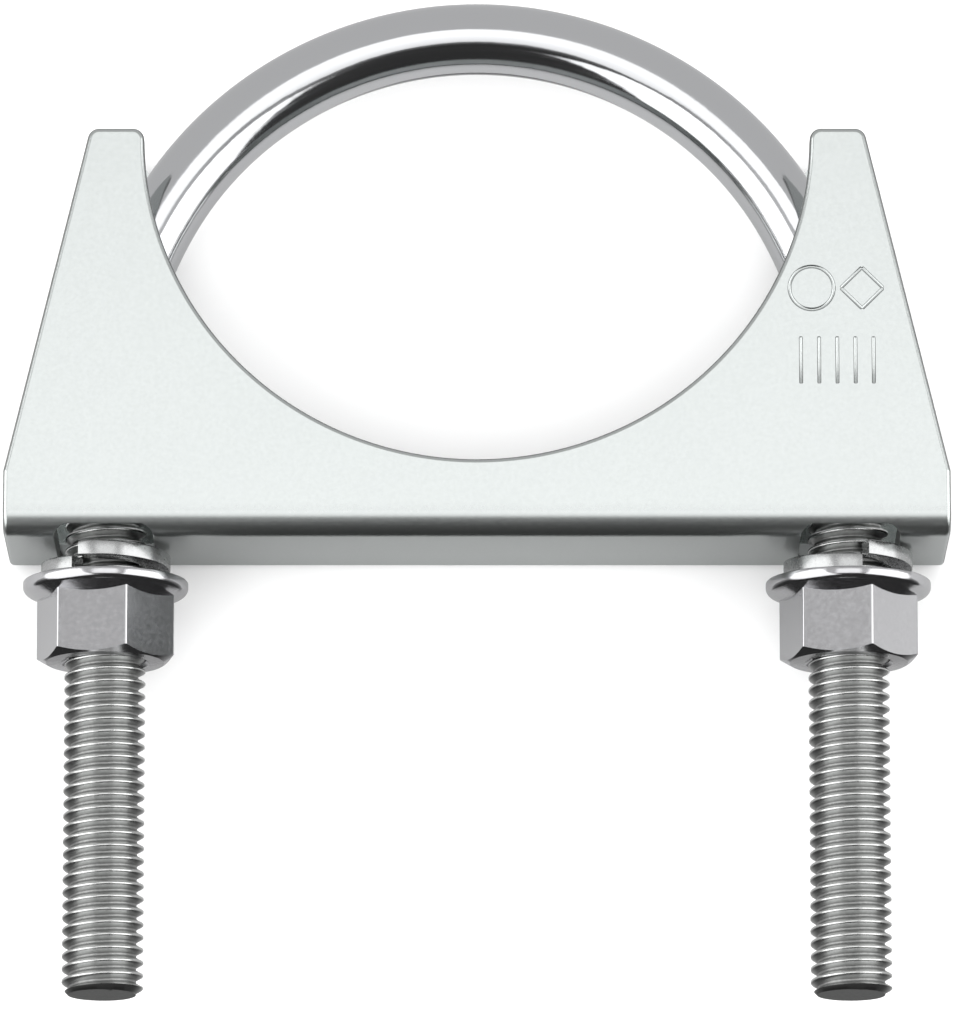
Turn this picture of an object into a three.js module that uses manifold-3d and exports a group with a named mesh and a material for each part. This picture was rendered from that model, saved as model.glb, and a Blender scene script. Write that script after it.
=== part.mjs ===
// A saddle clamp for a 65 mm pipe: a bent U-bolt, a pressed channel saddle, and on each leg
// a split spring washer and a flange nut.
// Millimetres. The clamp lies on the saddle's rear flange: X runs across the legs, Y from the
// leg ends to the top of the bow, Z up through the channel.
// The origin is under the middle of the whole clamp, on the surface that it lies on.
import * as THREE from 'three';
import { mergeVertices } from 'three/addons/utils/BufferGeometryUtils.js';
import Module from 'manifold-3d';

const wasm = await Module();
wasm.setup();

// ---------------------------------------------------------------- driving dimensions

const PIPE_D = 65;
const PIPE_PLAY = 0.4;              // room between the pipe and the U-bolt's legs, both sides together

// U-bolt, bent from plain wire; its legs carry a rolled M8 thread, which stands proud of the wire
const WIRE_D = 7.0;
const THREAD_D = 7.9;               // crest diameter
const THREAD_PITCH = 1.25;
const THREAD_LENGTH = 54;
const LEG_BELOW_SADDLE = 43.9;      // saddle's underside to the leg ends
const APEX_R = 35.2;                // centre line of the wire over the top of the bow
const APEX_HALF_ANGLE = Math.PI / 3;
const SPRING_LINE_H = 12.75;        // where the bow meets the straight legs, above the saddle's underside

// Saddle, pressed from sheet into a channel with a front flange, a rear flange and a web.
// Heights are measured from the web's outer face, the saddle's underside.
const SHEET_T = 2.0;
const BEND_R = 2.2;                 // outer radius of both folds
const CHANNEL_W = 17;               // over both flanges
const SADDLE_HALF_W = 45.9;
const SHOULDER_H = 6.2;
const SHOULDER_R = 0.9;
const HORN_H = 40.45;
const HORN_OUTER_X = 37.77;         // where the sloping edge reaches the height of the horn tips
const HORN_R = 1.1;
const SEAT_R = PIPE_D / 2;
const SEAT_CENTRE_H = 39.84;
const SLOT_W = 9.6;                 // slot across the web for each leg
const SLOT_L = 16.2;
const SLOT_R = 1.3;

// M8 hexagon flange nut
const NUT_AF = 11.9;                // across flats
const NUT_H = 8.0;
const FLANGE_D = 16.1;
const RIM_H = 0.6;
const RIM_EDGE = 0.2;               // chamfer on the bearing side, and setback of the rounded lower edge
const RIM_LOWER_H = 0.4;
const CONE_H = 1.05;                // slope from the rim in to the hexagon
const CHAMFER_D = 11.5;             // circle left on the free end by the hexagon's chamfer
const CHAMFER_SLOPE = Math.tan(Math.PI / 6);
const NUT_BORE_D = THREAD_D + 0.6;  // plain bore: stands for the nut's own thread
const NUT_TURN = { left: -0.187, right: -0.218 };   // how far each hexagon is turned from square, radians

// Split spring washer, one left-hand turn of square-edged wire
const WASHER_BORE_R = 4.2;
const WASHER_RADIAL = 2.1;
const WASHER_T = 1.5;
const WASHER_ROOM = 3.17;           // from the saddle to the nut
const WASHER_CLEARANCE = 0.1;       // kept from the saddle and from the nut
const SPLIT_GAP = 0.11;             // radians between the two ends
const SPLIT_AT = { left: -0.46, right: 0.24 };      // angle of each split, from the front

// how finely round stretches are divided
const ROUND_STEPS = 32;
const BOW_STEPS = 56;
const SEAT_STEPS = 40;
const CORNER_STEPS = 5;

// ---------------------------------------------------------------- places that follow from them

const LEG_X = (PIPE_D + PIPE_PLAY + WIRE_D) / 2;
const SIDE_R = (LEG_X - APEX_R * Math.sin(APEX_HALF_ANGLE)) / (1 - Math.sin(APEX_HALF_ANGLE));
const BOW_RISE = APEX_R + (SIDE_R - APEX_R) * Math.cos(APEX_HALF_ANGLE);
const BOW_TOP_H = SPRING_LINE_H + BOW_RISE + WIRE_D / 2;
const SADDLE_Y = (LEG_BELOW_SADDLE - BOW_TOP_H) / 2;     // the saddle's underside, in the clamp's frame
const MID_Z = CHANNEL_W / 2;
const NUT_TOP_Y = SADDLE_Y - WASHER_ROOM;
const WASHER_RISE = WASHER_ROOM - WASHER_T - 2 * WASHER_CLEARANCE;

// ---------------------------------------------------------------- joining and cutting

function toSolid(geometry) {
  const bare = geometry.clone();
  bare.deleteAttribute('normal');
  bare.deleteAttribute('uv');
  const merged = mergeVertices(bare, 1e-4);
  return new wasm.Manifold(new wasm.Mesh({
    numProp: 3,
    vertProperties: new Float32Array(merged.attributes.position.array),
    triVerts: new Uint32Array(merged.index.array),
  }));
}

function toGeometry(solid) {
  const mesh = solid.getMesh();
  const geometry = new THREE.BufferGeometry();
  geometry.setAttribute('position', new THREE.BufferAttribute(new Float32Array(mesh.vertProperties), 3));
  geometry.setIndex(new THREE.BufferAttribute(new Uint32Array(mesh.triVerts), 1));
  geometry.computeVertexNormals();
  return geometry;
}

// A solid of revolution about Y from [radius, height] pairs, given from the bottom up.
function turned(profile) {
  return new THREE.LatheGeometry(profile.map(([r, y]) => new THREE.Vector2(r, y)), ROUND_STEPS);
}

// ---------------------------------------------------------------- U-bolt

// Centre line of the bent wire from inside the left thread, over the bow, into the right thread.
class BowCurve extends THREE.Curve {
  constructor(straight) {
    super();
    this.straight = straight;
    this.sideAngle = Math.PI / 2 - APEX_HALF_ANGLE;
    this.sideLength = SIDE_R * this.sideAngle;
    this.half = straight + this.sideLength + APEX_R * APEX_HALF_ANGLE;
  }

  getPoint(t, target = new THREE.Vector3()) {
    const along = t * 2 * this.half;
    const side = along < this.half ? -1 : 1;
    const fromEnd = side < 0 ? along : 2 * this.half - along;
    let x = LEG_X;
    let h = SPRING_LINE_H - this.straight + fromEnd;
    if (fromEnd > this.straight) {
      const onSide = Math.min(fromEnd - this.straight, this.sideLength);
      const angle = onSide / SIDE_R;
      x = LEG_X - SIDE_R * (1 - Math.cos(angle));
      h = SPRING_LINE_H + SIDE_R * Math.sin(angle);
    }
    if (fromEnd > this.straight + this.sideLength) {
      const angle = this.sideAngle + (fromEnd - this.straight - this.sideLength) / APEX_R;
      x = APEX_R * Math.cos(angle);
      h = SPRING_LINE_H + BOW_RISE - APEX_R * (1 - Math.sin(angle));
    }
    return target.set(side * x, SADDLE_Y + h, MID_Z);
  }
}

function bowGeometry() {
  const overlap = 3;
  const straight = SPRING_LINE_H - (THREAD_LENGTH - LEG_BELOW_SADDLE) + overlap;
  const section = new THREE.Shape();
  section.absarc(0, 0, WIRE_D / 2, 0, 2 * Math.PI, false);
  return new THREE.ExtrudeGeometry(section, {
    steps: BOW_STEPS,
    curveSegments: ROUND_STEPS / 4,
    extrudePath: new BowCurve(straight),
  });
}

function legGeometry(side) {
  const crest = THREAD_D / 2;
  const endChamfer = 0.6 * THREAD_PITCH;
  const runOut = crest - WIRE_D / 2;
  const leg = turned([
    [0, 0],
    [crest - endChamfer, 0],
    [crest, endChamfer],
    [crest, THREAD_LENGTH - runOut],
    [crest - runOut, THREAD_LENGTH],
    [0, THREAD_LENGTH],
  ]);
  return leg.translate(side * LEG_X, SADDLE_Y - LEG_BELOW_SADDLE, MID_Z);
}

function uBolt() {
  const bow = toSolid(bowGeometry());
  return toGeometry(bow.add(toSolid(legGeometry(-1))).add(toSolid(legGeometry(1))));
}

// ---------------------------------------------------------------- saddle

function addArc(shape, centre, radius, from, to, steps) {
  for (let i = 0; i <= steps; i += 1) {
    const angle = from + (to - from) * i / steps;
    shape.lineTo(centre.x + radius * Math.cos(angle), centre.y + radius * Math.sin(angle));
  }
}

// Adds to a shape the straight run up to a corner and the round that takes it off.
function addRoundedCorner(shape, before, corner, after, radius) {
  const inward = before.clone().sub(corner).normalize();
  const onward = after.clone().sub(corner).normalize();
  const half = Math.acos(THREE.MathUtils.clamp(inward.dot(onward), -1, 1)) / 2;
  const toCentre = inward.clone().add(onward).normalize().multiplyScalar(radius / Math.sin(half));
  const centre = corner.clone().add(toCentre);
  const start = corner.clone().addScaledVector(inward, radius / Math.tan(half)).sub(centre);
  const end = corner.clone().addScaledVector(onward, radius / Math.tan(half)).sub(centre);
  const turn = Math.atan2(start.cross(end), start.dot(end));
  addArc(shape, centre, radius, start.angle(), start.angle() + turn, CORNER_STEPS);
}

// Side view of a flange: the web edge, the shoulders, the sloping edges, the horns and the seat.
function flangeOutline() {
  const foot = new THREE.Vector2(SADDLE_HALF_W, 0);
  const shoulder = new THREE.Vector2(SADDLE_HALF_W, SHOULDER_H);
  const hornOuter = new THREE.Vector2(HORN_OUTER_X, HORN_H);
  const hornTop = new THREE.Vector2(SEAT_R, HORN_H);
  const tuck = Math.asin((SEAT_CENTRE_H - HORN_H + HORN_R) / (SEAT_R + HORN_R));
  const hornInner = new THREE.Vector2((SEAT_R + HORN_R) * Math.cos(tuck), HORN_H - HORN_R);
  const seatCentre = new THREE.Vector2(0, SEAT_CENTRE_H);
  const mirror = (p) => new THREE.Vector2(-p.x, p.y);

  const shape = new THREE.Shape();
  shape.moveTo(-foot.x, foot.y);
  shape.lineTo(foot.x, foot.y);
  addRoundedCorner(shape, foot, shoulder, hornOuter, SHOULDER_R);
  addRoundedCorner(shape, shoulder, hornOuter, hornTop, HORN_R);
  addArc(shape, hornInner, HORN_R, Math.PI / 2, Math.PI - tuck, CORNER_STEPS);
  addArc(shape, seatCentre, SEAT_R, -tuck, tuck - Math.PI, SEAT_STEPS);
  addArc(shape, mirror(hornInner), HORN_R, tuck, Math.PI / 2, CORNER_STEPS);
  addRoundedCorner(shape, mirror(hornTop), mirror(hornOuter), mirror(shoulder), HORN_R);
  addRoundedCorner(shape, mirror(hornOuter), mirror(shoulder), mirror(foot), SHOULDER_R);
  shape.closePath();
  return shape;
}

// End view of the channel: a U with its web at the bottom, across the width and up the flanges.
function channelSection() {
  const half = CHANNEL_W / 2;
  const inner = BEND_R - SHEET_T;
  const shape = new THREE.Shape();
  shape.moveTo(-half, HORN_H + 1);
  shape.lineTo(-half, BEND_R);
  shape.absarc(BEND_R - half, BEND_R, BEND_R, Math.PI, 1.5 * Math.PI, false);
  shape.absarc(half - BEND_R, BEND_R, BEND_R, 1.5 * Math.PI, 2 * Math.PI, false);
  shape.lineTo(half, HORN_H + 1);
  shape.lineTo(half - SHEET_T, HORN_H + 1);
  shape.absarc(half - BEND_R, BEND_R, inner, 0, -Math.PI / 2, true);
  shape.absarc(BEND_R - half, BEND_R, inner, -Math.PI / 2, -Math.PI, true);
  shape.lineTo(SHEET_T - half, HORN_H + 1);
  shape.closePath();
  return shape;
}

function slotOutline() {
  const halfW = SLOT_W / 2;
  const halfL = SLOT_L / 2;
  const shape = new THREE.Shape();
  shape.absarc(halfW - SLOT_R, halfL - SLOT_R, SLOT_R, 0, Math.PI / 2, false);
  shape.absarc(SLOT_R - halfW, halfL - SLOT_R, SLOT_R, Math.PI / 2, Math.PI, false);
  shape.absarc(SLOT_R - halfW, SLOT_R - halfL, SLOT_R, Math.PI, 1.5 * Math.PI, false);
  shape.absarc(halfW - SLOT_R, SLOT_R - halfL, SLOT_R, 1.5 * Math.PI, 2 * Math.PI, false);
  shape.closePath();
  return shape;
}

// Opens one slot through the web and into both folds, where its ends run square to the sheet.
function slotCutter(side) {
  const below = 1.5;
  const depth = BEND_R + below;
  const slot = new THREE.ExtrudeGeometry(slotOutline(), {
    depth,
    bevelEnabled: false,
    curveSegments: CORNER_STEPS,
  });
  slot.rotateX(-Math.PI / 2);
  slot.translate(side * LEG_X, SADDLE_Y - below, MID_Z);

  const fold = CHANNEL_W / 2 - BEND_R;
  const flare = depth * Math.tan(Math.asin((SLOT_L / 2 - fold) / BEND_R));
  const section = new THREE.Shape();
  section.moveTo(-fold, depth);
  section.lineTo(-fold - flare, 0);
  section.lineTo(fold + flare, 0);
  section.lineTo(fold, depth);
  section.closePath();
  const wedge = new THREE.ExtrudeGeometry(section, { depth: SLOT_W + 2, bevelEnabled: false });
  wedge.translate(0, 0, -SLOT_W / 2 - 1);
  wedge.rotateY(Math.PI / 2);
  wedge.translate(side * LEG_X, SADDLE_Y - below, MID_Z);
  return toSolid(slot).intersect(toSolid(wedge));
}

function saddle() {
  const plate = new THREE.ExtrudeGeometry(flangeOutline(), { depth: CHANNEL_W + 2, bevelEnabled: false });
  plate.translate(0, SADDLE_Y, -1);

  const channel = new THREE.ExtrudeGeometry(channelSection(), {
    depth: 2 * SADDLE_HALF_W + 2,
    bevelEnabled: false,
    curveSegments: CORNER_STEPS,
  });
  channel.translate(0, 0, -SADDLE_HALF_W - 1);
  channel.rotateY(-Math.PI / 2);
  channel.translate(0, SADDLE_Y, MID_Z);

  let pressing = toSolid(plate).intersect(toSolid(channel));
  for (const side of [-1, 1]) pressing = pressing.subtract(slotCutter(side));
  return toGeometry(pressing);
}

// ---------------------------------------------------------------- flange nut

// Bearing face at y = 0, hexagon below.
function flangeNut() {
  const rim = FLANGE_D / 2;
  const coneFoot = -RIM_H - RIM_LOWER_H - CONE_H;
  const flange = turned([
    [0, coneFoot - 1],
    [NUT_AF / 2 - 0.3, coneFoot - 1],
    [NUT_AF / 2 - 0.3, coneFoot],
    [rim - RIM_EDGE, -RIM_H - RIM_LOWER_H],
    [rim, -RIM_H],
    [rim, -RIM_EDGE],
    [rim - RIM_EDGE, 0],
    [0, 0],
  ]);

  const hexH = NUT_H - RIM_H;
  const hexagon = new THREE.CylinderGeometry(NUT_AF / Math.sqrt(3), NUT_AF / Math.sqrt(3), hexH, 6);
  hexagon.rotateY(Math.PI / 6);
  hexagon.translate(0, -NUT_H + hexH / 2, 0);

  const wide = NUT_AF;
  const chamfer = turned([
    [0, -NUT_H],
    [CHAMFER_D / 2, -NUT_H],
    [wide, -NUT_H + (wide - CHAMFER_D / 2) * CHAMFER_SLOPE],
    [wide, 0],
    [0, 0],
  ]);

  const bore = turned([
    [0, -NUT_H - 1],
    [NUT_BORE_D / 2 + 1, -NUT_H - 1],
    [NUT_BORE_D / 2, -NUT_H + 0.2],
    [NUT_BORE_D / 2, -0.2],
    [NUT_BORE_D / 2 + 1, 1],
    [0, 1],
  ]);

  const body = toSolid(hexagon).intersect(toSolid(chamfer)).add(toSolid(flange));
  return toGeometry(body.subtract(toSolid(bore)));
}

// ---------------------------------------------------------------- spring washer

// A straight bar bent once round the leg, its higher end's top at y = 0.
// Seen from the front it falls towards the right.
function springWasher(splitAt) {
  const sweep = 2 * Math.PI - SPLIT_GAP;
  const bar = new THREE.BoxGeometry(1, WASHER_T, WASHER_RADIAL, ROUND_STEPS, 1, 1);
  const corners = bar.attributes.position;
  for (let i = 0; i < corners.count; i += 1) {
    const along = corners.getX(i) + 0.5;
    const angle = splitAt + SPLIT_GAP / 2 + along * sweep;
    const radius = WASHER_BORE_R + WASHER_RADIAL / 2 + corners.getZ(i);
    const y = corners.getY(i) - WASHER_T / 2 - along * WASHER_RISE;
    corners.setXYZ(i, radius * Math.sin(angle), y, radius * Math.cos(angle));
  }
  return toGeometry(toSolid(bar));
}

// ---------------------------------------------------------------- the clamp

const brightZinc = { roughness: 0.28, metalness: 1 };
const satinZinc = { roughness: 0.45, metalness: 1 };

function piece(name, geometry, color, finish) {
  const mesh = new THREE.Mesh(geometry, new THREE.MeshStandardMaterial({ color, ...finish }));
  mesh.name = name;
  return mesh;
}

const clamp = new THREE.Group();
clamp.add(piece('u_bolt', uBolt(), 0xb4b6b8, brightZinc));
clamp.add(piece('saddle', saddle(), 0xe8edeb, satinZinc));

for (const [hand, side] of [['left', -1], ['right', 1]]) {
  const leg = new THREE.Group();
  leg.position.set(side * LEG_X, 0, MID_Z);

  const nut = piece(`${hand}_nut`, flangeNut(), 0xcfd0d0, brightZinc);
  nut.position.y = NUT_TOP_Y;
  nut.rotation.y = NUT_TURN[hand];
  leg.add(nut);

  const washer = piece(`${hand}_washer`, springWasher(SPLIT_AT[hand]), 0xdcdede, brightZinc);
  washer.position.y = SADDLE_Y - WASHER_CLEARANCE;
  leg.add(washer);

  clamp.add(leg);
}

export default clamp;
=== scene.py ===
import math

import bmesh
import bpy
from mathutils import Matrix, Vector


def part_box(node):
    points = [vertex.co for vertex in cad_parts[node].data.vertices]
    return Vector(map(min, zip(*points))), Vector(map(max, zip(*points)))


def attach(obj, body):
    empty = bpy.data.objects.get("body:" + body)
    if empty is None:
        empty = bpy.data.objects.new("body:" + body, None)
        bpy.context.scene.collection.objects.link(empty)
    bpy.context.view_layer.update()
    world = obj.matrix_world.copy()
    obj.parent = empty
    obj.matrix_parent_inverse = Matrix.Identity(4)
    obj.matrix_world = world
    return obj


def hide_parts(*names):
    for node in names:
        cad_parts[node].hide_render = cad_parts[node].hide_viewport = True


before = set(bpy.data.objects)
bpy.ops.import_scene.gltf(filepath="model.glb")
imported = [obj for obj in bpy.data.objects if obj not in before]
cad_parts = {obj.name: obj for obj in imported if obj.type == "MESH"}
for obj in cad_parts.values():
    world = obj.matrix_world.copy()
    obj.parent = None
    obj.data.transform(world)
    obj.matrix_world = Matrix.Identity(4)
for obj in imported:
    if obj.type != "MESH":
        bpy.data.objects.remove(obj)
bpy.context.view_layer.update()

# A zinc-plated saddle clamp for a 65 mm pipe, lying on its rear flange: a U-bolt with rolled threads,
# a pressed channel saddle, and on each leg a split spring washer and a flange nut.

MM = 0.001

# ---------------------------------------------------------------- sizes, and places taken from the frame

saddle_low, saddle_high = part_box("saddle")
bolt_low, bolt_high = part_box("u_bolt")
nut_low, nut_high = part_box("right_nut")
washer_low, washer_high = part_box("right_washer")

LEG_X = (nut_low.x + nut_high.x) / 2
MID_Z = (saddle_low.z + saddle_high.z) / 2
UNDERSIDE_Y = saddle_low.y
LEG_END_Y = bolt_low.y
NUT_TOP_Y = nut_high.y
NUT_END_Y = nut_low.y

WIRE_R = 3.5 * MM
APEX_R = 35.2 * MM                  # centre line over the top of the bow
SIDE_ANGLE = math.radians(30)       # how far the bow's sides turn in before the top starts
SIDE_R = (LEG_X - APEX_R * math.cos(SIDE_ANGLE)) / (1 - math.cos(SIDE_ANGLE))
APEX_CENTRE_Y = bolt_high.y - WIRE_R - APEX_R
SPRING_Y = APEX_CENTRE_Y - (SIDE_R - APEX_R) * math.sin(SIDE_ANGLE)

PITCH = 1.25 * MM                   # M8 coarse
CREST_R = 3.95 * MM
ROOT_R = 3.26 * MM
THREAD_TOP_Y = LEG_END_Y + 54 * MM
NUT_THREAD_GAP = 0.1 * MM           # between the leg's thread and the nut's, on the radius

SHEET_T = 2.0 * MM
BEND_R = 2.2 * MM
SHOULDER_Y = UNDERSIDE_Y + 6.2 * MM
SHOULDER_R = 0.9 * MM
HORN_Y = saddle_high.y
HORN_OUTER_X = 37.77 * MM           # where the sloping edge reaches the height of the horn tips
HORN_R = 1.1 * MM
SEAT_R = 32.5 * MM
SEAT_CENTRE_Y = UNDERSIDE_Y + 39.84 * MM
SLOT_W = 9.6 * MM
SLOT_L = 16.2 * MM
SLOT_R = 1.3 * MM

SLOT_ROLL = 0.12 * MM
EDGE_ROLL = 0.45 * MM               # rounding that pressing leaves on the sheet's cut edges

MARK_X = 35.0 * MM                  # stamped mark on the front flange: middle of its lower row
MARK_Y = 11.5 * MM
MARK_RISE = 7.2 * MM                # from the lower row to the upper one
MARK_H = 4.7 * MM
MARK_STEP = 4.9 * MM
STROKE_R = 0.2 * MM
STROKE_DEPTH = 0.13 * MM

NUT_AF = 11.9 * MM
FLANGE_R = (nut_high.x - nut_low.x) / 2
NUT_TURN = {"left": -0.187, "right": -0.218}

WASHER_BORE_R = 4.2 * MM
WASHER_RADIAL = 2.1 * MM
WASHER_T = 1.5 * MM
SPLIT_GAP = 0.11
SPLIT_AT = {"left": -0.46, "right": 0.24}
SIDES = {"left": -1, "right": 1}


# ---------------------------------------------------------------- ways of working

def only(piece):
    """Makes piece the one thing selected."""
    bpy.ops.object.select_all(action="DESELECT")
    bpy.context.view_layer.objects.active = piece
    piece.select_set(True)


def added(name):
    """The primitive just added, named, with its place put into its mesh."""
    piece = bpy.context.active_object
    piece.name = name
    piece.data.name = name
    only(piece)
    bpy.ops.object.transform_apply(location=True, rotation=True, scale=True)
    return piece


def pick(piece, kind, wanted):
    """In edit mode, selects just the VERTs, EDGEs or FACEs that wanted() accepts."""
    bpy.ops.mesh.select_mode(type=kind)
    bpy.ops.mesh.select_all(action="DESELECT")
    mesh = bmesh.from_edit_mesh(piece.data)
    items = {"VERT": mesh.verts, "EDGE": mesh.edges, "FACE": mesh.faces}[kind]
    for item in items:
        item.select_set(wanted(item))
    bmesh.update_edit_mesh(piece.data)


def ends(edge):
    return edge.verts[0].co, edge.verts[1].co


def near(a, b, tolerance=0.02 * MM):
    return abs(a - b) < tolerance


def carve(piece, tool, operation="DIFFERENCE"):
    """Cuts or joins piece with tool, and uses tool up."""
    only(piece)
    cut = piece.modifiers.new("carve", "BOOLEAN")
    cut.operation = operation
    cut.object = tool
    cut.solver = "EXACT"
    bpy.ops.object.modifier_apply(modifier=cut.name)
    bpy.data.objects.remove(tool)


def finish(piece, kind, **settings):
    """Adds a modifier with its settings and applies it."""
    only(piece)
    modifier = piece.modifiers.new(kind.lower(), kind)
    for name, value in settings.items():
        setattr(modifier, name, value)
    bpy.ops.object.modifier_apply(modifier=modifier.name)


def tidy(piece, merge=0.002 * MM):
    only(piece)
    bpy.ops.object.mode_set(mode="EDIT")
    bpy.ops.mesh.select_all(action="SELECT")
    bpy.ops.mesh.remove_doubles(threshold=merge)
    bpy.ops.mesh.normals_make_consistent(inside=False)
    bpy.ops.object.mode_set(mode="OBJECT")


def polish(piece, angle):
    """Smooth shading that keeps true corners, with flat faces kept flat."""
    only(piece)
    bpy.ops.object.shade_smooth_by_angle(angle=math.radians(angle), keep_sharp_edges=False)
    finish(piece, "WEIGHTED_NORMAL", keep_sharp=True)


def point(name, place):
    """A new piece that is a single selected point, left in edit mode to be drawn from."""
    bpy.ops.mesh.primitive_plane_add(size=1 * MM, location=place)
    piece = added(name)
    bpy.ops.object.mode_set(mode="EDIT")
    bpy.ops.mesh.select_mode(type="VERT")
    bpy.ops.mesh.select_all(action="SELECT")
    bpy.ops.mesh.merge(type="CENTER")
    return piece


# ---------------------------------------------------------------- saddle

def draw_to(x, y, start):
    """Extrudes the selected point to (x, y) and returns the new place."""
    step = Vector((x - start.x, y - start.y, 0))
    bpy.ops.mesh.extrude_vertices_move(TRANSFORM_OT_translate={"value": step})
    return Vector((x, y, start.z))


def swing(centre, angle, steps, start):
    """Spins the selected point round centre (x, y), leaving an arc, and returns the new place."""
    pivot = Vector((centre[0], centre[1], start.z))
    bpy.ops.mesh.spin(steps=steps, angle=-angle, center=pivot, axis=(0, 0, 1))
    arm = start - pivot
    turned = Vector((
        arm.x * math.cos(angle) - arm.y * math.sin(angle),
        arm.x * math.sin(angle) + arm.y * math.cos(angle),
        0,
    ))
    return pivot + turned


def saddle_blank():
    """The side view of the saddle, drawn as a half outline, mirrored and made a thick plate."""
    z = saddle_low.z - 1 * MM
    slope = math.atan2(saddle_high.x - HORN_OUTER_X, HORN_Y - SHOULDER_Y)
    shoulder_cut = SHOULDER_R * math.tan(slope / 2)
    horn_cut = HORN_R * math.tan((math.pi / 2 - slope) / 2)
    tuck = math.asin((SEAT_CENTRE_Y - HORN_Y + HORN_R) / (SEAT_R + HORN_R))
    inner_x = (SEAT_R + HORN_R) * math.cos(tuck)

    at = Vector((0, UNDERSIDE_Y, z))
    plate = point("saddle", at)
    at = draw_to(saddle_high.x, UNDERSIDE_Y, at)
    at = draw_to(saddle_high.x, SHOULDER_Y - shoulder_cut, at)
    at = swing((saddle_high.x - SHOULDER_R, at.y), slope, 4, at)
    horn_centre_y = HORN_Y - HORN_R
    horn_centre_x = HORN_OUTER_X - horn_cut
    turn_start = Vector((
        horn_centre_x + HORN_R * math.cos(slope),
        horn_centre_y + HORN_R * math.sin(slope),
        z,
    ))
    at = draw_to(turn_start.x, turn_start.y, at)
    at = swing((horn_centre_x, horn_centre_y), math.pi / 2 - slope, 10, at)
    at = draw_to(inner_x, HORN_Y, at)
    at = swing((inner_x, horn_centre_y), math.pi / 2 - tuck, 10, at)
    at = swing((0, SEAT_CENTRE_Y), -(math.pi / 2 - tuck), 64, at)
    bpy.ops.object.mode_set(mode="OBJECT")
    finish(plate, "MIRROR", use_mirror_merge=True, merge_threshold=0.01 * MM)
    bpy.ops.object.mode_set(mode="EDIT")
    bpy.ops.mesh.select_all(action="SELECT")
    bpy.ops.mesh.remove_doubles(threshold=0.002 * MM)
    bpy.ops.mesh.edge_face_add()
    thickness = saddle_high.z - saddle_low.z + 2 * MM
    bpy.ops.mesh.extrude_region_move(TRANSFORM_OT_translate={"value": (0, 0, thickness)})
    bpy.ops.mesh.select_all(action="SELECT")
    bpy.ops.mesh.normals_make_consistent(inside=False)
    bpy.ops.object.mode_set(mode="OBJECT")
    return plate


def saddle_channel():
    """A plain channel: web and two flanges, folded from one thickness of sheet."""
    middle = (saddle_low + saddle_high) / 2
    size = saddle_high - saddle_low
    over = 1 * MM                    # past the blank, so that the blank alone sets the outline
    height = size.y + over
    bpy.ops.mesh.primitive_cube_add(
        size=1,
        location=(middle.x, UNDERSIDE_Y + height / 2, middle.z),
        scale=(size.x + 2 * over, height, size.z),
    )
    channel = added("channel")
    bpy.ops.object.mode_set(mode="EDIT")
    pick(channel, "EDGE", lambda e: all(near(v.y, UNDERSIDE_Y) for v in ends(e))
         and near(ends(e)[0].z, ends(e)[1].z))
    bpy.ops.mesh.bevel(offset=BEND_R, offset_type="OFFSET", segments=12, profile=0.5)
    pick(channel, "FACE", lambda f: abs(f.normal.x) > 0.9 or f.normal.y > 0.9)
    bpy.ops.mesh.delete(type="ONLY_FACE")
    bpy.ops.mesh.select_all(action="SELECT")
    bpy.ops.mesh.delete_loose(use_verts=True, use_edges=True, use_faces=False)
    bpy.ops.object.mode_set(mode="OBJECT")
    finish(channel, "SOLIDIFY", thickness=SHEET_T, offset=-1, use_even_offset=True)
    return channel


def leg_slot(side):
    """The tool that opens one slot: rounded in plan, with ends square to the fold that they cut into."""
    below = 1.5 * MM
    bpy.ops.mesh.primitive_cube_add(
        size=1,
        location=(side * LEG_X, UNDERSIDE_Y + (BEND_R - below) / 2, MID_Z),
        scale=(SLOT_W, BEND_R + below, SLOT_L),
    )
    slot = added("slot")
    bpy.ops.object.mode_set(mode="EDIT")
    pick(slot, "EDGE", lambda e: near(ends(e)[0].x, ends(e)[1].x) and near(ends(e)[0].z, ends(e)[1].z))
    bpy.ops.mesh.bevel(offset=SLOT_R, offset_type="OFFSET", segments=6, profile=0.5)
    for end in (-1, 1):
        fold_z = MID_Z + end * ((saddle_high.z - saddle_low.z) / 2 - BEND_R)
        reach = math.asin((SLOT_L / 2 - abs(fold_z - MID_Z)) / BEND_R)
        bpy.ops.mesh.select_all(action="SELECT")
        bpy.ops.mesh.bisect(
            plane_co=(0, UNDERSIDE_Y + BEND_R, fold_z),
            plane_no=(0, math.sin(reach), end * math.cos(reach)),
            threshold=1e-8,
            use_fill=True,
            clear_outer=True,
        )
    bpy.ops.object.mode_set(mode="OBJECT")
    tidy(slot)
    return slot


def punch_bar(x, y, length, turn=0.0):
    """A punch for one straight stroke, its round side just into the front flange."""
    bpy.ops.mesh.primitive_cylinder_add(
        vertices=20,
        radius=STROKE_R,
        depth=length,
        location=(x, y, saddle_high.z + STROKE_R - STROKE_DEPTH),
        rotation=(math.pi / 2, 0, turn),
    )
    punch = added("punch")
    finish(punch, "BEVEL", width=0.1 * MM, segments=3, limit_method="ANGLE")
    return punch


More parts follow.
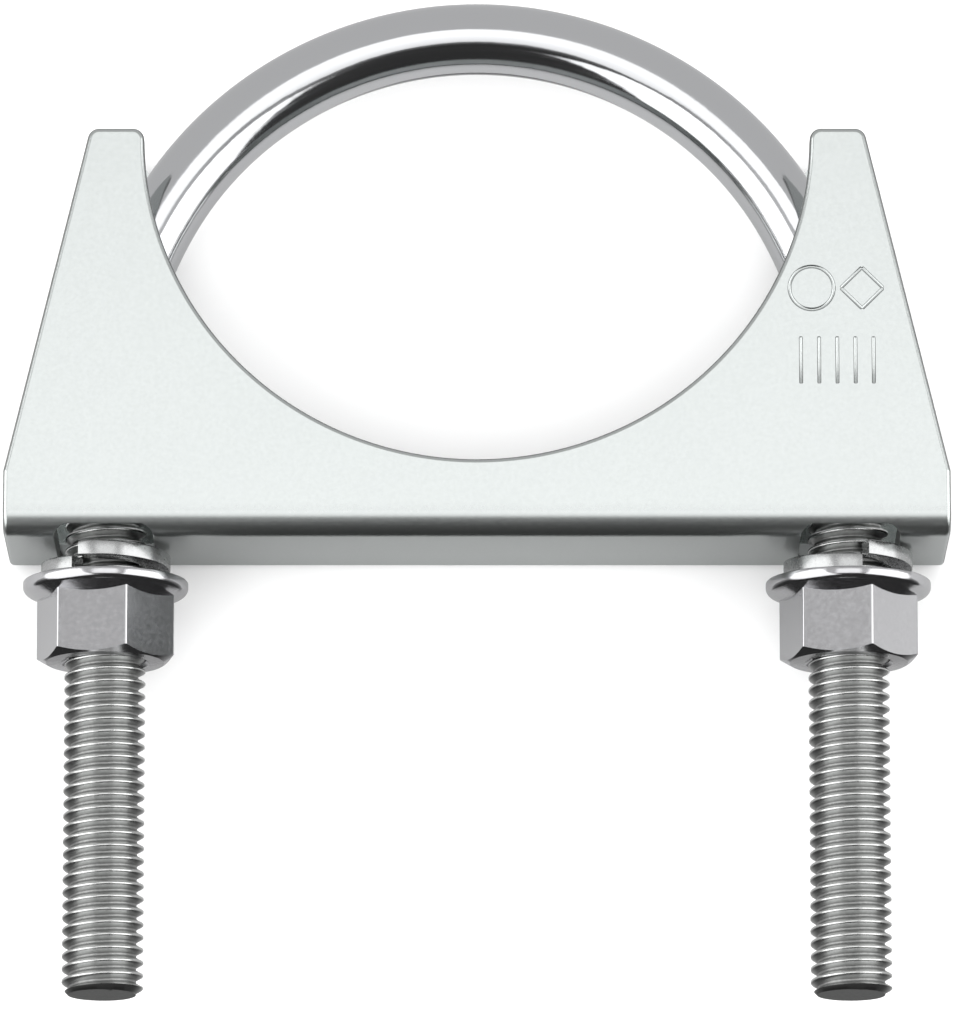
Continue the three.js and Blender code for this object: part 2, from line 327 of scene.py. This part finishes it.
def stamp(saddle):
    """A plain stamped mark on the front flange: a ring and a diamond over a row of upright strokes."""
    bpy.ops.mesh.primitive_torus_add(
        major_radius=MARK_H / 2 - STROKE_R,
        minor_radius=STROKE_R,
        major_segments=64,
        minor_segments=20,
        location=(MARK_X - MARK_STEP / 2, MARK_Y + MARK_RISE, saddle_high.z + STROKE_R - STROKE_DEPTH),
    )
    carve(saddle, added("punch"))
    side = MARK_H * 0.62
    for turn in range(4):
        angle = math.pi / 4 + turn * math.pi / 2
        x = MARK_X + MARK_STEP / 2 + side / 2 * math.cos(angle)
        y = MARK_Y + MARK_RISE + side / 2 * math.sin(angle)
        carve(saddle, punch_bar(x, y, side, angle))
    for step in (-2, -1, 0, 1, 2):
        carve(saddle, punch_bar(MARK_X + step * MARK_STEP * 0.36, MARK_Y, MARK_H))


def outside(place):
    """Whether a place is on the outer skin of the folded sheet."""
    across = max(abs(place.z - MID_Z) - ((saddle_high.z - saddle_low.z) / 2 - BEND_R), 0)
    down = max(UNDERSIDE_Y + BEND_R - place.y, 0)
    return near(math.hypot(across, down), BEND_R)


def roll_edges(saddle, width, steps):
    """Rounds the sharp edges of the sheet's outer skin, the side that the punch enters."""
    only(saddle)
    bpy.ops.object.mode_set(mode="EDIT")
    pick(saddle, "EDGE", lambda e: all(outside(v) for v in ends(e)) and e.calc_face_angle(0) > math.radians(40))
    bpy.ops.mesh.bevel(offset=width, offset_type="OFFSET", segments=steps, profile=0.5, clamp_overlap=False)
    bpy.ops.object.mode_set(mode="OBJECT")


def make_saddle():
    saddle = saddle_blank()
    carve(saddle, saddle_channel(), "INTERSECT")
    tidy(saddle)
    roll_edges(saddle, EDGE_ROLL, 6)
    for side in SIDES.values():
        carve(saddle, leg_slot(side))
    tidy(saddle)
    roll_edges(saddle, SLOT_ROLL, 2)
    stamp(saddle)
    polish(saddle, 35)
    return saddle


# ---------------------------------------------------------------- threads

def thread_rod(name, x, low_y, high_y, grow=0.0):
    """A rod with an M8 right-hand thread, every turn of it in step with all other threads on that leg."""
    depth = CREST_R - ROOT_R
    root = ROOT_R + grow
    # half of one thread, from the middle of a root to the middle of a crest: (share of pitch, share of depth)
    half = [(0.0, 0.0), (0.07, 0.01), (0.125, 0.07), (0.375, 0.90), (0.43, 0.985)]
    turn = half + [(0.5, 1.0)] + [(1 - along, rise) for along, rise in reversed(half)]
    start_y = LEG_END_Y + PITCH * (math.floor((low_y - LEG_END_Y) / PITCH) - 2)
    turns = math.ceil((high_y - start_y) / PITCH) + 1

    at = Vector((root, start_y, 0))
    rod = point(name, at)
    for along, rise in turn[1:]:
        at = draw_to(root + depth * rise, start_y + along * PITCH, at)
    bpy.ops.object.mode_set(mode="OBJECT")
    finish(rod, "SCREW", axis="Y", angle=2 * math.pi, screw_offset=PITCH, iterations=turns,
           steps=56, render_steps=56, use_merge_vertices=True, merge_threshold=0.001 * MM)
    bpy.ops.object.mode_set(mode="EDIT")
    for level, facing in ((low_y, -1), (high_y, 1)):
        bpy.ops.mesh.select_all(action="SELECT")
        bpy.ops.mesh.bisect(plane_co=(0, level, 0), plane_no=(0, facing, 0), threshold=1e-8,
                            clear_outer=True)
        pick(rod, "EDGE", lambda e: e.is_boundary and all(near(v.y, level, 0.001 * MM) for v in ends(e)))
        bpy.ops.mesh.edge_face_add()
    bpy.ops.mesh.select_all(action="SELECT")
    bpy.ops.mesh.remove_doubles(threshold=0.001 * MM)
    bpy.ops.transform.translate(value=(x, 0, MID_Z))
    bpy.ops.mesh.normals_make_consistent(inside=False)
    bpy.ops.object.mode_set(mode="OBJECT")
    return rod


def threaded_leg(x):
    """One leg's thread, pointed at its end and running out into the wire."""
    rod = thread_rod("leg", x, LEG_END_Y, THREAD_TOP_Y + 1.2 * MM)
    over = 0.2 * MM
    length = THREAD_TOP_Y + 1 * MM - LEG_END_Y
    bpy.ops.mesh.primitive_cylinder_add(
        vertices=96,
        radius=CREST_R + over,
        depth=length,
        location=(x, LEG_END_Y + length / 2, MID_Z),
        rotation=(math.pi / 2, 0, 0),
    )
    limits = added("limits")
    bpy.ops.object.mode_set(mode="EDIT")
    pick(limits, "EDGE", lambda e: all(near(v.y, LEG_END_Y) for v in ends(e)))
    bpy.ops.mesh.bevel(offset=0.8 * MM, offset_type="OFFSET", segments=1)
    pick(limits, "EDGE", lambda e: all(near(v.y, LEG_END_Y + length) for v in ends(e)))
    bpy.ops.mesh.bevel(offset=CREST_R + over - WIRE_R + 0.1 * MM, offset_type="OFFSET", segments=1)
    bpy.ops.object.mode_set(mode="OBJECT")
    carve(rod, limits, "INTERSECT")
    return rod


# ---------------------------------------------------------------- U-bolt

def make_bow():
    """The bare wire, swept from one thread over the bow to the other by extruding and spinning its end."""
    bpy.ops.mesh.primitive_circle_add(
        vertices=64,
        radius=WIRE_R,
        fill_type="NGON",
        location=(LEG_X, THREAD_TOP_Y, MID_Z),
        rotation=(math.pi / 2, 0, 0),
    )
    wire = added("u_bolt")
    straight = SPRING_Y - THREAD_TOP_Y
    bpy.ops.object.mode_set(mode="EDIT")
    bpy.ops.mesh.select_mode(type="FACE")
    bpy.ops.mesh.select_all(action="SELECT")
    bpy.ops.mesh.extrude_region_move(TRANSFORM_OT_translate={"value": (0, straight, 0)})
    side_centre_x = LEG_X - SIDE_R
    for centre, angle, steps in (
        ((side_centre_x, SPRING_Y, MID_Z), SIDE_ANGLE, 24),
        ((0, APEX_CENTRE_Y, MID_Z), math.pi - 2 * SIDE_ANGLE, 80),
        ((-side_centre_x, SPRING_Y, MID_Z), SIDE_ANGLE, 24),
    ):
        bpy.ops.mesh.spin(steps=steps, angle=-angle, center=centre, axis=(0, 0, 1))
    bpy.ops.mesh.extrude_region_move(TRANSFORM_OT_translate={"value": (0, -straight, 0)})
    bpy.ops.object.mode_set(mode="OBJECT")
    tidy(wire)
    return wire


def make_u_bolt():
    bolt = make_bow()
    for side in SIDES.values():
        carve(bolt, threaded_leg(side * LEG_X), "UNION")
    polish(bolt, 50)
    return bolt


# ---------------------------------------------------------------- nuts

def make_nut(hand):
    x = SIDES[hand] * LEG_X
    height = NUT_TOP_Y - NUT_END_Y
    bpy.ops.mesh.primitive_cylinder_add(
        vertices=6,
        radius=NUT_AF / math.sqrt(3),
        depth=height - 0.5 * MM,
        location=(x, NUT_END_Y + (height - 0.5 * MM) / 2, MID_Z),
        rotation=(math.pi / 2, NUT_TURN[hand] + math.pi / 6, 0),
    )
    nut = added(f"{hand}_nut")
    bpy.ops.object.mode_set(mode="EDIT")
    pick(nut, "EDGE", lambda e: not near(ends(e)[0].y, ends(e)[1].y))
    bpy.ops.mesh.bevel(offset=0.13 * MM, offset_type="OFFSET", segments=3, profile=0.5)
    bpy.ops.object.mode_set(mode="OBJECT")

    chamfer_r = 5.75 * MM
    bpy.ops.mesh.primitive_cone_add(
        vertices=128,
        radius1=chamfer_r + height * math.sqrt(3),
        radius2=chamfer_r,
        depth=height,
        location=(x, NUT_END_Y + height / 2, MID_Z),
        rotation=(math.pi / 2, 0, 0),
    )
    carve(nut, added("chamfer"), "INTERSECT")

    rim_h = 1.0 * MM
    bpy.ops.mesh.primitive_cylinder_add(
        vertices=128,
        radius=FLANGE_R,
        depth=rim_h,
        location=(x, NUT_TOP_Y - rim_h / 2, MID_Z),
        rotation=(math.pi / 2, 0, 0),
    )
    flange = added("flange")
    bpy.ops.object.mode_set(mode="EDIT")
    pick(flange, "FACE", lambda f: f.normal.y < -0.9)
    bpy.ops.mesh.extrude_region_move(TRANSFORM_OT_translate={"value": (0, -1.05 * MM, 0)})
    shrink = (NUT_AF / 2 - 0.3 * MM) / FLANGE_R
    bpy.ops.transform.resize(value=(shrink, 1, shrink), center_override=(x, NUT_TOP_Y, MID_Z))
    pick(flange, "EDGE", lambda e: all(near(v.y, NUT_TOP_Y) for v in ends(e)))
    bpy.ops.mesh.bevel(offset=0.16 * MM, offset_type="OFFSET", segments=3, profile=0.5)
    pick(flange, "EDGE", lambda e: all(near(v.y, NUT_TOP_Y - rim_h) for v in ends(e)))
    bpy.ops.mesh.bevel(offset=0.42 * MM, offset_type="OFFSET", segments=5, profile=0.5)
    bpy.ops.object.mode_set(mode="OBJECT")
    carve(nut, flange, "UNION")
    tidy(nut)

    over = 0.3 * MM
    carve(nut, thread_rod("tap", x, NUT_END_Y - over, NUT_TOP_Y + over, NUT_THREAD_GAP))
    for y, facing in ((NUT_END_Y, 1), (NUT_TOP_Y, -1)):
        sink_r = CREST_R + 0.35 * MM
        bpy.ops.mesh.primitive_cone_add(
            vertices=96,
            radius1=sink_r + over,
            radius2=0,
            depth=sink_r + over,
            location=(x, y + facing * (sink_r - over) / 2, MID_Z),
            rotation=(-facing * math.pi / 2, 0, 0),
        )
        carve(nut, added("countersink"))
    polish(nut, 26)
    return nut


# ---------------------------------------------------------------- spring washers

def make_washer(hand):
    """A square-edged bar wound one turn left-handed, its two ends a gap apart."""
    x = SIDES[hand] * LEG_X
    sweep = 2 * math.pi - SPLIT_GAP
    top = washer_high.y - WASHER_T / 2
    fall = (washer_high.y - washer_low.y) - WASHER_T
    middle = (0, 0, WASHER_BORE_R + WASHER_RADIAL / 2)
    bpy.ops.mesh.primitive_plane_add(size=WASHER_T, location=middle, rotation=(0, math.pi / 2, 0))
    washer = added(f"{hand}_washer")
    bpy.ops.object.mode_set(mode="EDIT")
    bpy.ops.mesh.select_all(action="SELECT")
    bpy.ops.transform.resize(value=(1, 1, WASHER_RADIAL / WASHER_T), center_override=middle)
    bpy.ops.mesh.bevel(offset=0.14 * MM, offset_type="OFFSET", segments=3, affect="VERTICES")
    bpy.ops.object.mode_set(mode="OBJECT")
    finish(washer, "SCREW", axis="Y", angle=sweep, screw_offset=-fall, steps=120, render_steps=120)
    bpy.ops.object.mode_set(mode="EDIT")
    pick(washer, "EDGE", lambda e: e.is_boundary)
    bpy.ops.mesh.fill_holes(sides=0)
    bpy.ops.mesh.select_all(action="SELECT")
    start = SPLIT_AT[hand] + SPLIT_GAP / 2
    bpy.ops.transform.rotate(value=-start, orient_axis="Y", center_override=(0, 0, 0))
    bpy.ops.transform.translate(value=(x, top, MID_Z))
    bpy.ops.object.mode_set(mode="OBJECT")
    tidy(washer)
    polish(washer, 35)
    return washer


# ---------------------------------------------------------------- finishes

def colour(code):
    """Linear colour, with alpha, from an sRGB hex code."""
    parts = [int(code[i:i + 2], 16) / 255 for i in (1, 3, 5)]
    return [p / 12.92 if p <= 0.04045 else ((p + 0.055) / 1.055) ** 2.4 for p in parts] + [1.0]


def add(tree, kind, inputs=None, **settings):
    """Adds a node with its settings; each input, by name or number, is given a value or another output."""
    node = tree.nodes.new(kind)
    for name, value in settings.items():
        setattr(node, name, value)
    for name, value in (inputs or {}).items():
        if isinstance(value, bpy.types.NodeSocket):
            tree.links.new(value, node.inputs[name])
        else:
            node.inputs[name].default_value = value
    return node


def metal(name, base, roughness):
    """A plated metal to build on: its tree, its shader and the coordinates of the piece itself."""
    material = bpy.data.materials.new(name)
    material.use_nodes = True
    tree = material.node_tree
    shader = tree.nodes["Principled BSDF"]
    shader.inputs["Base Color"].default_value = colour(base)
    shader.inputs["Metallic"].default_value = 1.0
    shader.inputs["Roughness"].default_value = roughness
    return material, tree, shader, add(tree, "ShaderNodeTexCoord").outputs["Object"]


def per_metre(size):
    """The scale of a noise whose grains are size across."""
    return 1 / size


def drawn_wire():
    """Bright zinc plate on drawn steel wire: a near mirror, a little wavy, with faint marks along its length."""
    material, tree, shader, place = metal("bright_zinc_on_drawn_wire", "#CDCED0", 0.1)
    part = add(tree, "ShaderNodeSeparateXYZ", {0: place})
    from_centre = add(tree, "ShaderNodeMath", {0: part.outputs["Y"], 1: APEX_CENTRE_Y}, operation="SUBTRACT")
    arm = add(tree, "ShaderNodeCombineXYZ", {0: part.outputs["X"], 1: from_centre.outputs[0]})
    radius = add(tree, "ShaderNodeVectorMath", {0: arm.outputs[0]}, operation="LENGTH")
    bearing = add(tree, "ShaderNodeMath", {0: part.outputs["X"], 1: from_centre.outputs[0]}, operation="ARCTAN2")
    along = add(tree, "ShaderNodeMath", {0: bearing.outputs[0], 1: 0.3 * MM}, operation="MULTIPLY")
    lengthwise = add(tree, "ShaderNodeCombineXYZ",
                     {0: radius.outputs["Value"], 1: along.outputs[0], 2: part.outputs["Z"]})
    marks = add(tree, "ShaderNodeTexNoise",
                {"Vector": lengthwise.outputs[0], "Scale": per_metre(0.25 * MM), "Detail": 3.0})
    waves = add(tree, "ShaderNodeTexNoise", {"Vector": place, "Scale": per_metre(2.5 * MM), "Detail": 2.0})
    rough = add(tree, "ShaderNodeMapRange",
                {"Value": marks.outputs["Fac"], "From Min": 0.35, "From Max": 0.7, "To Min": 0.07, "To Max": 0.17})
    tree.links.new(rough.outputs["Result"], shader.inputs["Roughness"])
    shallow = add(tree, "ShaderNodeBump",
                  {"Height": waves.outputs["Fac"], "Strength": 0.5, "Distance": 0.03 * MM})
    fine = add(tree, "ShaderNodeBump",
               {"Height": marks.outputs["Fac"], "Strength": 0.25, "Distance": 0.004 * MM,
                "Normal": shallow.outputs["Normal"]})
    tree.links.new(fine.outputs["Normal"], shader.inputs["Normal"])
    return material


def rolled_thread_painted_light():
    """Zinc plate on a rolled thread: duller than the wire and smoother on the crests, with painted shade greying the
    roots and a painted highlight lightening the crests.
    """
    material, tree, shader, place = metal("zinc_on_rolled_thread", "#B9BAB9", 0.32)
    part = add(tree, "ShaderNodeSeparateXYZ", {0: place})
    out = add(tree, "ShaderNodeMath", {0: part.outputs["X"]}, operation="ABSOLUTE")
    across = add(tree, "ShaderNodeMath", {0: out.outputs[0], 1: LEG_X}, operation="SUBTRACT")
    up = add(tree, "ShaderNodeMath", {0: part.outputs["Z"], 1: MID_Z}, operation="SUBTRACT")
    arm = add(tree, "ShaderNodeCombineXYZ", {0: across.outputs[0], 1: up.outputs[0]})
    radius = add(tree, "ShaderNodeVectorMath", {0: arm.outputs[0]}, operation="LENGTH")
    height = add(tree, "ShaderNodeMapRange",
                 {"Value": radius.outputs["Value"], "From Min": ROOT_R, "From Max": CREST_R})
    grain = add(tree, "ShaderNodeTexNoise", {"Vector": place, "Scale": per_metre(0.3 * MM), "Detail": 4.0})
    mixed = add(tree, "ShaderNodeMath",
                {0: grain.outputs["Fac"], 1: 0.5, 2: height.outputs["Result"]}, operation="MULTIPLY_ADD")
    share = add(tree, "ShaderNodeMapRange", {"Value": mixed.outputs[0], "From Min": 0.15, "From Max": 1.25})
    # Painted shade and highlight: the base colour runs from dark grey in the roots to pale on the crests.
    tone = add(tree, "ShaderNodeMix",
               {0: share.outputs["Result"], 6: colour("#8A8B8A"), 7: colour("#CDCECD")}, data_type="RGBA")
    tree.links.new(tone.outputs[2], shader.inputs["Base Color"])
    rough = add(tree, "ShaderNodeMapRange",
                {"Value": mixed.outputs[0], "From Min": 0.2, "From Max": 1.3, "To Min": 0.42, "To Max": 0.24})
    tree.links.new(rough.outputs["Result"], shader.inputs["Roughness"])
    bump = add(tree, "ShaderNodeBump", {"Height": grain.outputs["Fac"], "Strength": 0.4, "Distance": 0.012 * MM})
    tree.links.new(bump.outputs["Normal"], shader.inputs["Normal"])
    return material


def pressed_sheet():
    """Bright zinc plate on cold-rolled sheet: pale and slightly green, between satin and
    bright, with a fine dapple and faint clouding, and duller where the fold has stretched it."""
    material, tree, shader, place = metal("satin_zinc_on_pressed_sheet", "#C3C7C6", 0.22)
    cloud = add(tree, "ShaderNodeTexNoise", {"Vector": place, "Scale": per_metre(14 * MM), "Detail": 3.0})
    dapple = add(tree, "ShaderNodeTexNoise", {"Vector": place, "Scale": per_metre(0.35 * MM), "Detail": 3.0})
    tone = add(tree, "ShaderNodeMix",
               {0: cloud.outputs["Fac"], 6: colour("#C2C6C5"), 7: colour("#C4C8C7")}, data_type="RGBA")
    tree.links.new(tone.outputs[2], shader.inputs["Base Color"])
    rough = add(tree, "ShaderNodeMapRange",
                {"Value": dapple.outputs["Fac"], "From Min": 0.3, "From Max": 0.7, "To Min": 0.22, "To Max": 0.26})
    up = add(tree, "ShaderNodeSeparateXYZ", {0: place})
    worked = add(tree, "ShaderNodeMapRange",
                 {"Value": up.outputs["Y"], "From Min": UNDERSIDE_Y + 1 * MM, "From Max": UNDERSIDE_Y + 3 * MM,
                  "To Min": 0.1, "To Max": 0.0})
    duller = add(tree, "ShaderNodeMath", {0: rough.outputs["Result"], 1: worked.outputs["Result"]}, operation="ADD")
    tree.links.new(duller.outputs[0], shader.inputs["Roughness"])
    bump = add(tree, "ShaderNodeBump", {"Height": dapple.outputs["Fac"], "Strength": 0.12, "Distance": 0.01 * MM})
    tree.links.new(bump.outputs["Normal"], shader.inputs["Normal"])
    return material


def formed_nut():
    """Bright zinc plate on a cold-formed nut: glossy, with the slightly uneven flats that forming leaves."""
    material, tree, shader, place = metal("bright_zinc_on_formed_nut", "#BFBFC1", 0.16)
    uneven = add(tree, "ShaderNodeTexNoise", {"Vector": place, "Scale": per_metre(3 * MM), "Detail": 2.0})
    grain = add(tree, "ShaderNodeTexNoise", {"Vector": place, "Scale": per_metre(0.4 * MM), "Detail": 3.0})
    rough = add(tree, "ShaderNodeMapRange",
                {"Value": grain.outputs["Fac"], "From Min": 0.3, "From Max": 0.7, "To Min": 0.12, "To Max": 0.2})
    tree.links.new(rough.outputs["Result"], shader.inputs["Roughness"])
    shallow = add(tree, "ShaderNodeBump",
                  {"Height": uneven.outputs["Fac"], "Strength": 0.5, "Distance": 0.05 * MM})
    fine = add(tree, "ShaderNodeBump",
               {"Height": grain.outputs["Fac"], "Strength": 0.3, "Distance": 0.006 * MM,
                "Normal": shallow.outputs["Normal"]})
    tree.links.new(fine.outputs["Normal"], shader.inputs["Normal"])
    return material


def coiled_spring():
    """Zinc plate on coiled spring steel: semi-bright, with a fine even grain."""
    material, tree, shader, place = metal("zinc_on_spring_steel", "#ACADAD", 0.22)
    grain = add(tree, "ShaderNodeTexNoise", {"Vector": place, "Scale": per_metre(0.3 * MM), "Detail": 4.0})
    rough = add(tree, "ShaderNodeMapRange",
                {"Value": grain.outputs["Fac"], "From Min": 0.3, "From Max": 0.7, "To Min": 0.2, "To Max": 0.3})
    tree.links.new(rough.outputs["Result"], shader.inputs["Roughness"])
    bump = add(tree, "ShaderNodeBump", {"Height": grain.outputs["Fac"], "Strength": 0.35, "Distance": 0.01 * MM})
    tree.links.new(bump.outputs["Normal"], shader.inputs["Normal"])
    return material


def sheared_edge_painted_dark():
    """Zinc over the cut edge of the sheet: shearing leaves it rough and dull, and its base colour, much darker than
    the face, is painted shade that draws a dark outline along the edges.
    """
    material, tree, shader, place = metal("zinc_on_sheared_edge", "#8A8C8B", 0.4)
    torn = add(tree, "ShaderNodeMapping", {"Vector": place, "Scale": (1, 1, 0.2)})
    streak = add(tree, "ShaderNodeTexNoise",
                 {"Vector": torn.outputs[0], "Scale": per_metre(0.2 * MM), "Detail": 4.0})
    # The streaks vary at random; their dark grey range is painted shade.
    tone = add(tree, "ShaderNodeMix",
               {0: streak.outputs["Fac"], 6: colour("#5F6160"), 7: colour("#9A9C9B")}, data_type="RGBA")
    tree.links.new(tone.outputs[2], shader.inputs["Base Color"])
    bump = add(tree, "ShaderNodeBump", {"Height": streak.outputs["Fac"], "Strength": 0.5, "Distance": 0.03 * MM})
    tree.links.new(bump.outputs["Normal"], shader.inputs["Normal"])
    return material


# ---------------------------------------------------------------- the clamp

def place_piece(piece, node, slot, *materials):
    piece.data.materials.clear()
    for material in materials:
        piece.data.materials.append(material)
    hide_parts(node)
    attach(piece, node)


bolt = make_u_bolt()
place_piece(bolt, "u_bolt", "bright_zinc_wire", drawn_wire(), rolled_thread_painted_light())
for face in bolt.data.polygons:
    face.material_index = int(face.center.y < THREAD_TOP_Y)

saddle = make_saddle()
place_piece(saddle, "saddle", "satin_zinc_sheet", pressed_sheet(), sheared_edge_painted_dark())
# Painted shade: the cut edges, the steep part of their rounding, the slot walls and the steep sides of the stamped
# strokes take the dark edge finish, a painted dark outline.
for face in saddle.data.polygons:
    painted_outline_face = abs(face.normal.z) < 0.7 and face.center.y > UNDERSIDE_Y + BEND_R + 0.3 * MM
    face.material_index = int(painted_outline_face or abs(face.normal.x) > 0.7)

nut_finish = formed_nut()
washer_finish = coiled_spring()
for hand in SIDES:
    place_piece(make_nut(hand), f"{hand}_nut", "bright_zinc_nut", nut_finish)
    place_piece(make_washer(hand), f"{hand}_washer", "bright_zinc_washer", washer_finish)


# ---------------------------------------------------------------- floor, light and camera

bpy.ops.mesh.primitive_plane_add(size=4, location=(0, 0, -0.02 * MM))
floor = added("floor")
board = bpy.data.materials.new("matt_white_board")
board.use_nodes = True
board.node_tree.nodes["Principled BSDF"].inputs["Base Color"].default_value = colour("#F4F4F4")
board.node_tree.nodes["Principled BSDF"].inputs["Roughness"].default_value = 0.9
board.node_tree.nodes["Principled BSDF"].inputs["Specular IOR Level"].default_value = 0.0
floor.data.materials.append(board)

# What the clamp mirrors in place of the floor: mid-grey cards that stop short of its front, one
# between the legs, one outside each of them and one inside the bow.
grey_card = bpy.data.materials.new("matt_grey_card")
grey_card.use_nodes = True
grey_card.node_tree.nodes["Principled BSDF"].inputs["Base Color"].default_value = colour("#B8B8B8")
grey_card.node_tree.nodes["Principled BSDF"].inputs["Roughness"].default_value = 0.9
grey_card.node_tree.nodes["Principled BSDF"].inputs["Specular IOR Level"].default_value = 0.0
for name, low_x, high_x, low_y, high_y in (
    ("card_between_legs", -26 * MM, 26 * MM, UNDERSIDE_Y - 8.5 * MM, UNDERSIDE_Y + 25 * MM),
    ("card_on_right", 26 * MM, 526 * MM, UNDERSIDE_Y - 13 * MM, UNDERSIDE_Y + 25 * MM),
    ("card_on_left", -526 * MM, -26 * MM, UNDERSIDE_Y - 13 * MM, UNDERSIDE_Y + 25 * MM),
    ("card_in_bow", -30 * MM, 30 * MM, UNDERSIDE_Y + 25 * MM, APEX_CENTRE_Y + APEX_R - 8 * MM),
):
    middle = ((low_x + high_x) / 2, (low_y + high_y) / 2, -0.01 * MM)
    bpy.ops.mesh.primitive_plane_add(size=1, location=middle)
    bpy.context.active_object.scale = (high_x - low_x, high_y - low_y, 1)
    card = added(name)
    card.visible_camera = False
    card.visible_diffuse = False
    card.visible_shadow = False
    card.data.materials.append(grey_card)
floor.visible_glossy = False

TARGET = Vector((0.2 * MM, -2.24 * MM, MID_Z))


def softbox(name, bearing, rise, distance, width, height, brightness):
    """A rectangular soft light aimed at the clamp, from a bearing round Z and a rise above the floor."""
    out = Vector((math.cos(bearing) * math.cos(rise), math.sin(bearing) * math.cos(rise), math.sin(rise)))
    bpy.ops.object.light_add(type="AREA", location=out * distance)
    lamp = bpy.context.active_object
    lamp.name = name
    lamp.rotation_euler = out.to_track_quat("Z", "Y").to_euler()
    lamp.visible_camera = False
    lamp.data.shape = "RECTANGLE"
    lamp.data.size = width
    lamp.data.size_y = height
    lamp.data.energy = 4 * brightness * width * height


softbox("overhead", math.radians(90), math.radians(89.9), 1.2, 0.757, 0.874, 0.84)
softbox("front_right", math.radians(-8), math.radians(31), 1.1, 1.1, 1.36, 1.45)
softbox("front_left", math.radians(198.5), math.radians(31), 1.1, 1.60, 1.36, 1.45)

# The room: mid grey behind the clamp and dark in front of it, between the lights. Its light on the floor
# is stronger and even, so that the floor is white and its shadows stay close to the clamp.
world = bpy.data.worlds.new("room")
bpy.context.scene.world = world
world.use_nodes = True
room = world.node_tree
toward = add(room, "ShaderNodeTexCoord").outputs["Generated"]
toward_y = add(room, "ShaderNodeSeparateXYZ", {0: toward}).outputs["Y"]
grey = add(room, "ShaderNodeMapRange",
           {"Value": toward_y, "From Min": -0.5, "From Max": 0.0, "To Min": 0.04, "To Max": 0.64})
ray = add(room, "ShaderNodeLightPath")
lit = add(room, "ShaderNodeMix",
          {0: ray.outputs["Is Diffuse Ray"], 2: grey.outputs["Result"], 3: 1.3}, data_type="FLOAT")
seen = add(room, "ShaderNodeMix",
           {0: ray.outputs["Is Camera Ray"], 2: lit.outputs[0], 3: 1.0}, data_type="FLOAT")
room.links.new(seen.outputs[0], room.nodes["Background"].inputs["Color"])

camera_rise = math.radians(77.5)
bpy.ops.object.camera_add(
    location=TARGET + Vector((0, -math.cos(camera_rise), math.sin(camera_rise))) * 0.95,
    rotation=(math.pi / 2 - camera_rise, 0, 0),
)
camera = bpy.context.active_object
camera.data.sensor_width = 36
camera.data.lens = 338.7
bpy.context.scene.camera = camera
bpy.context.scene.view_settings.view_transform = "Standard"
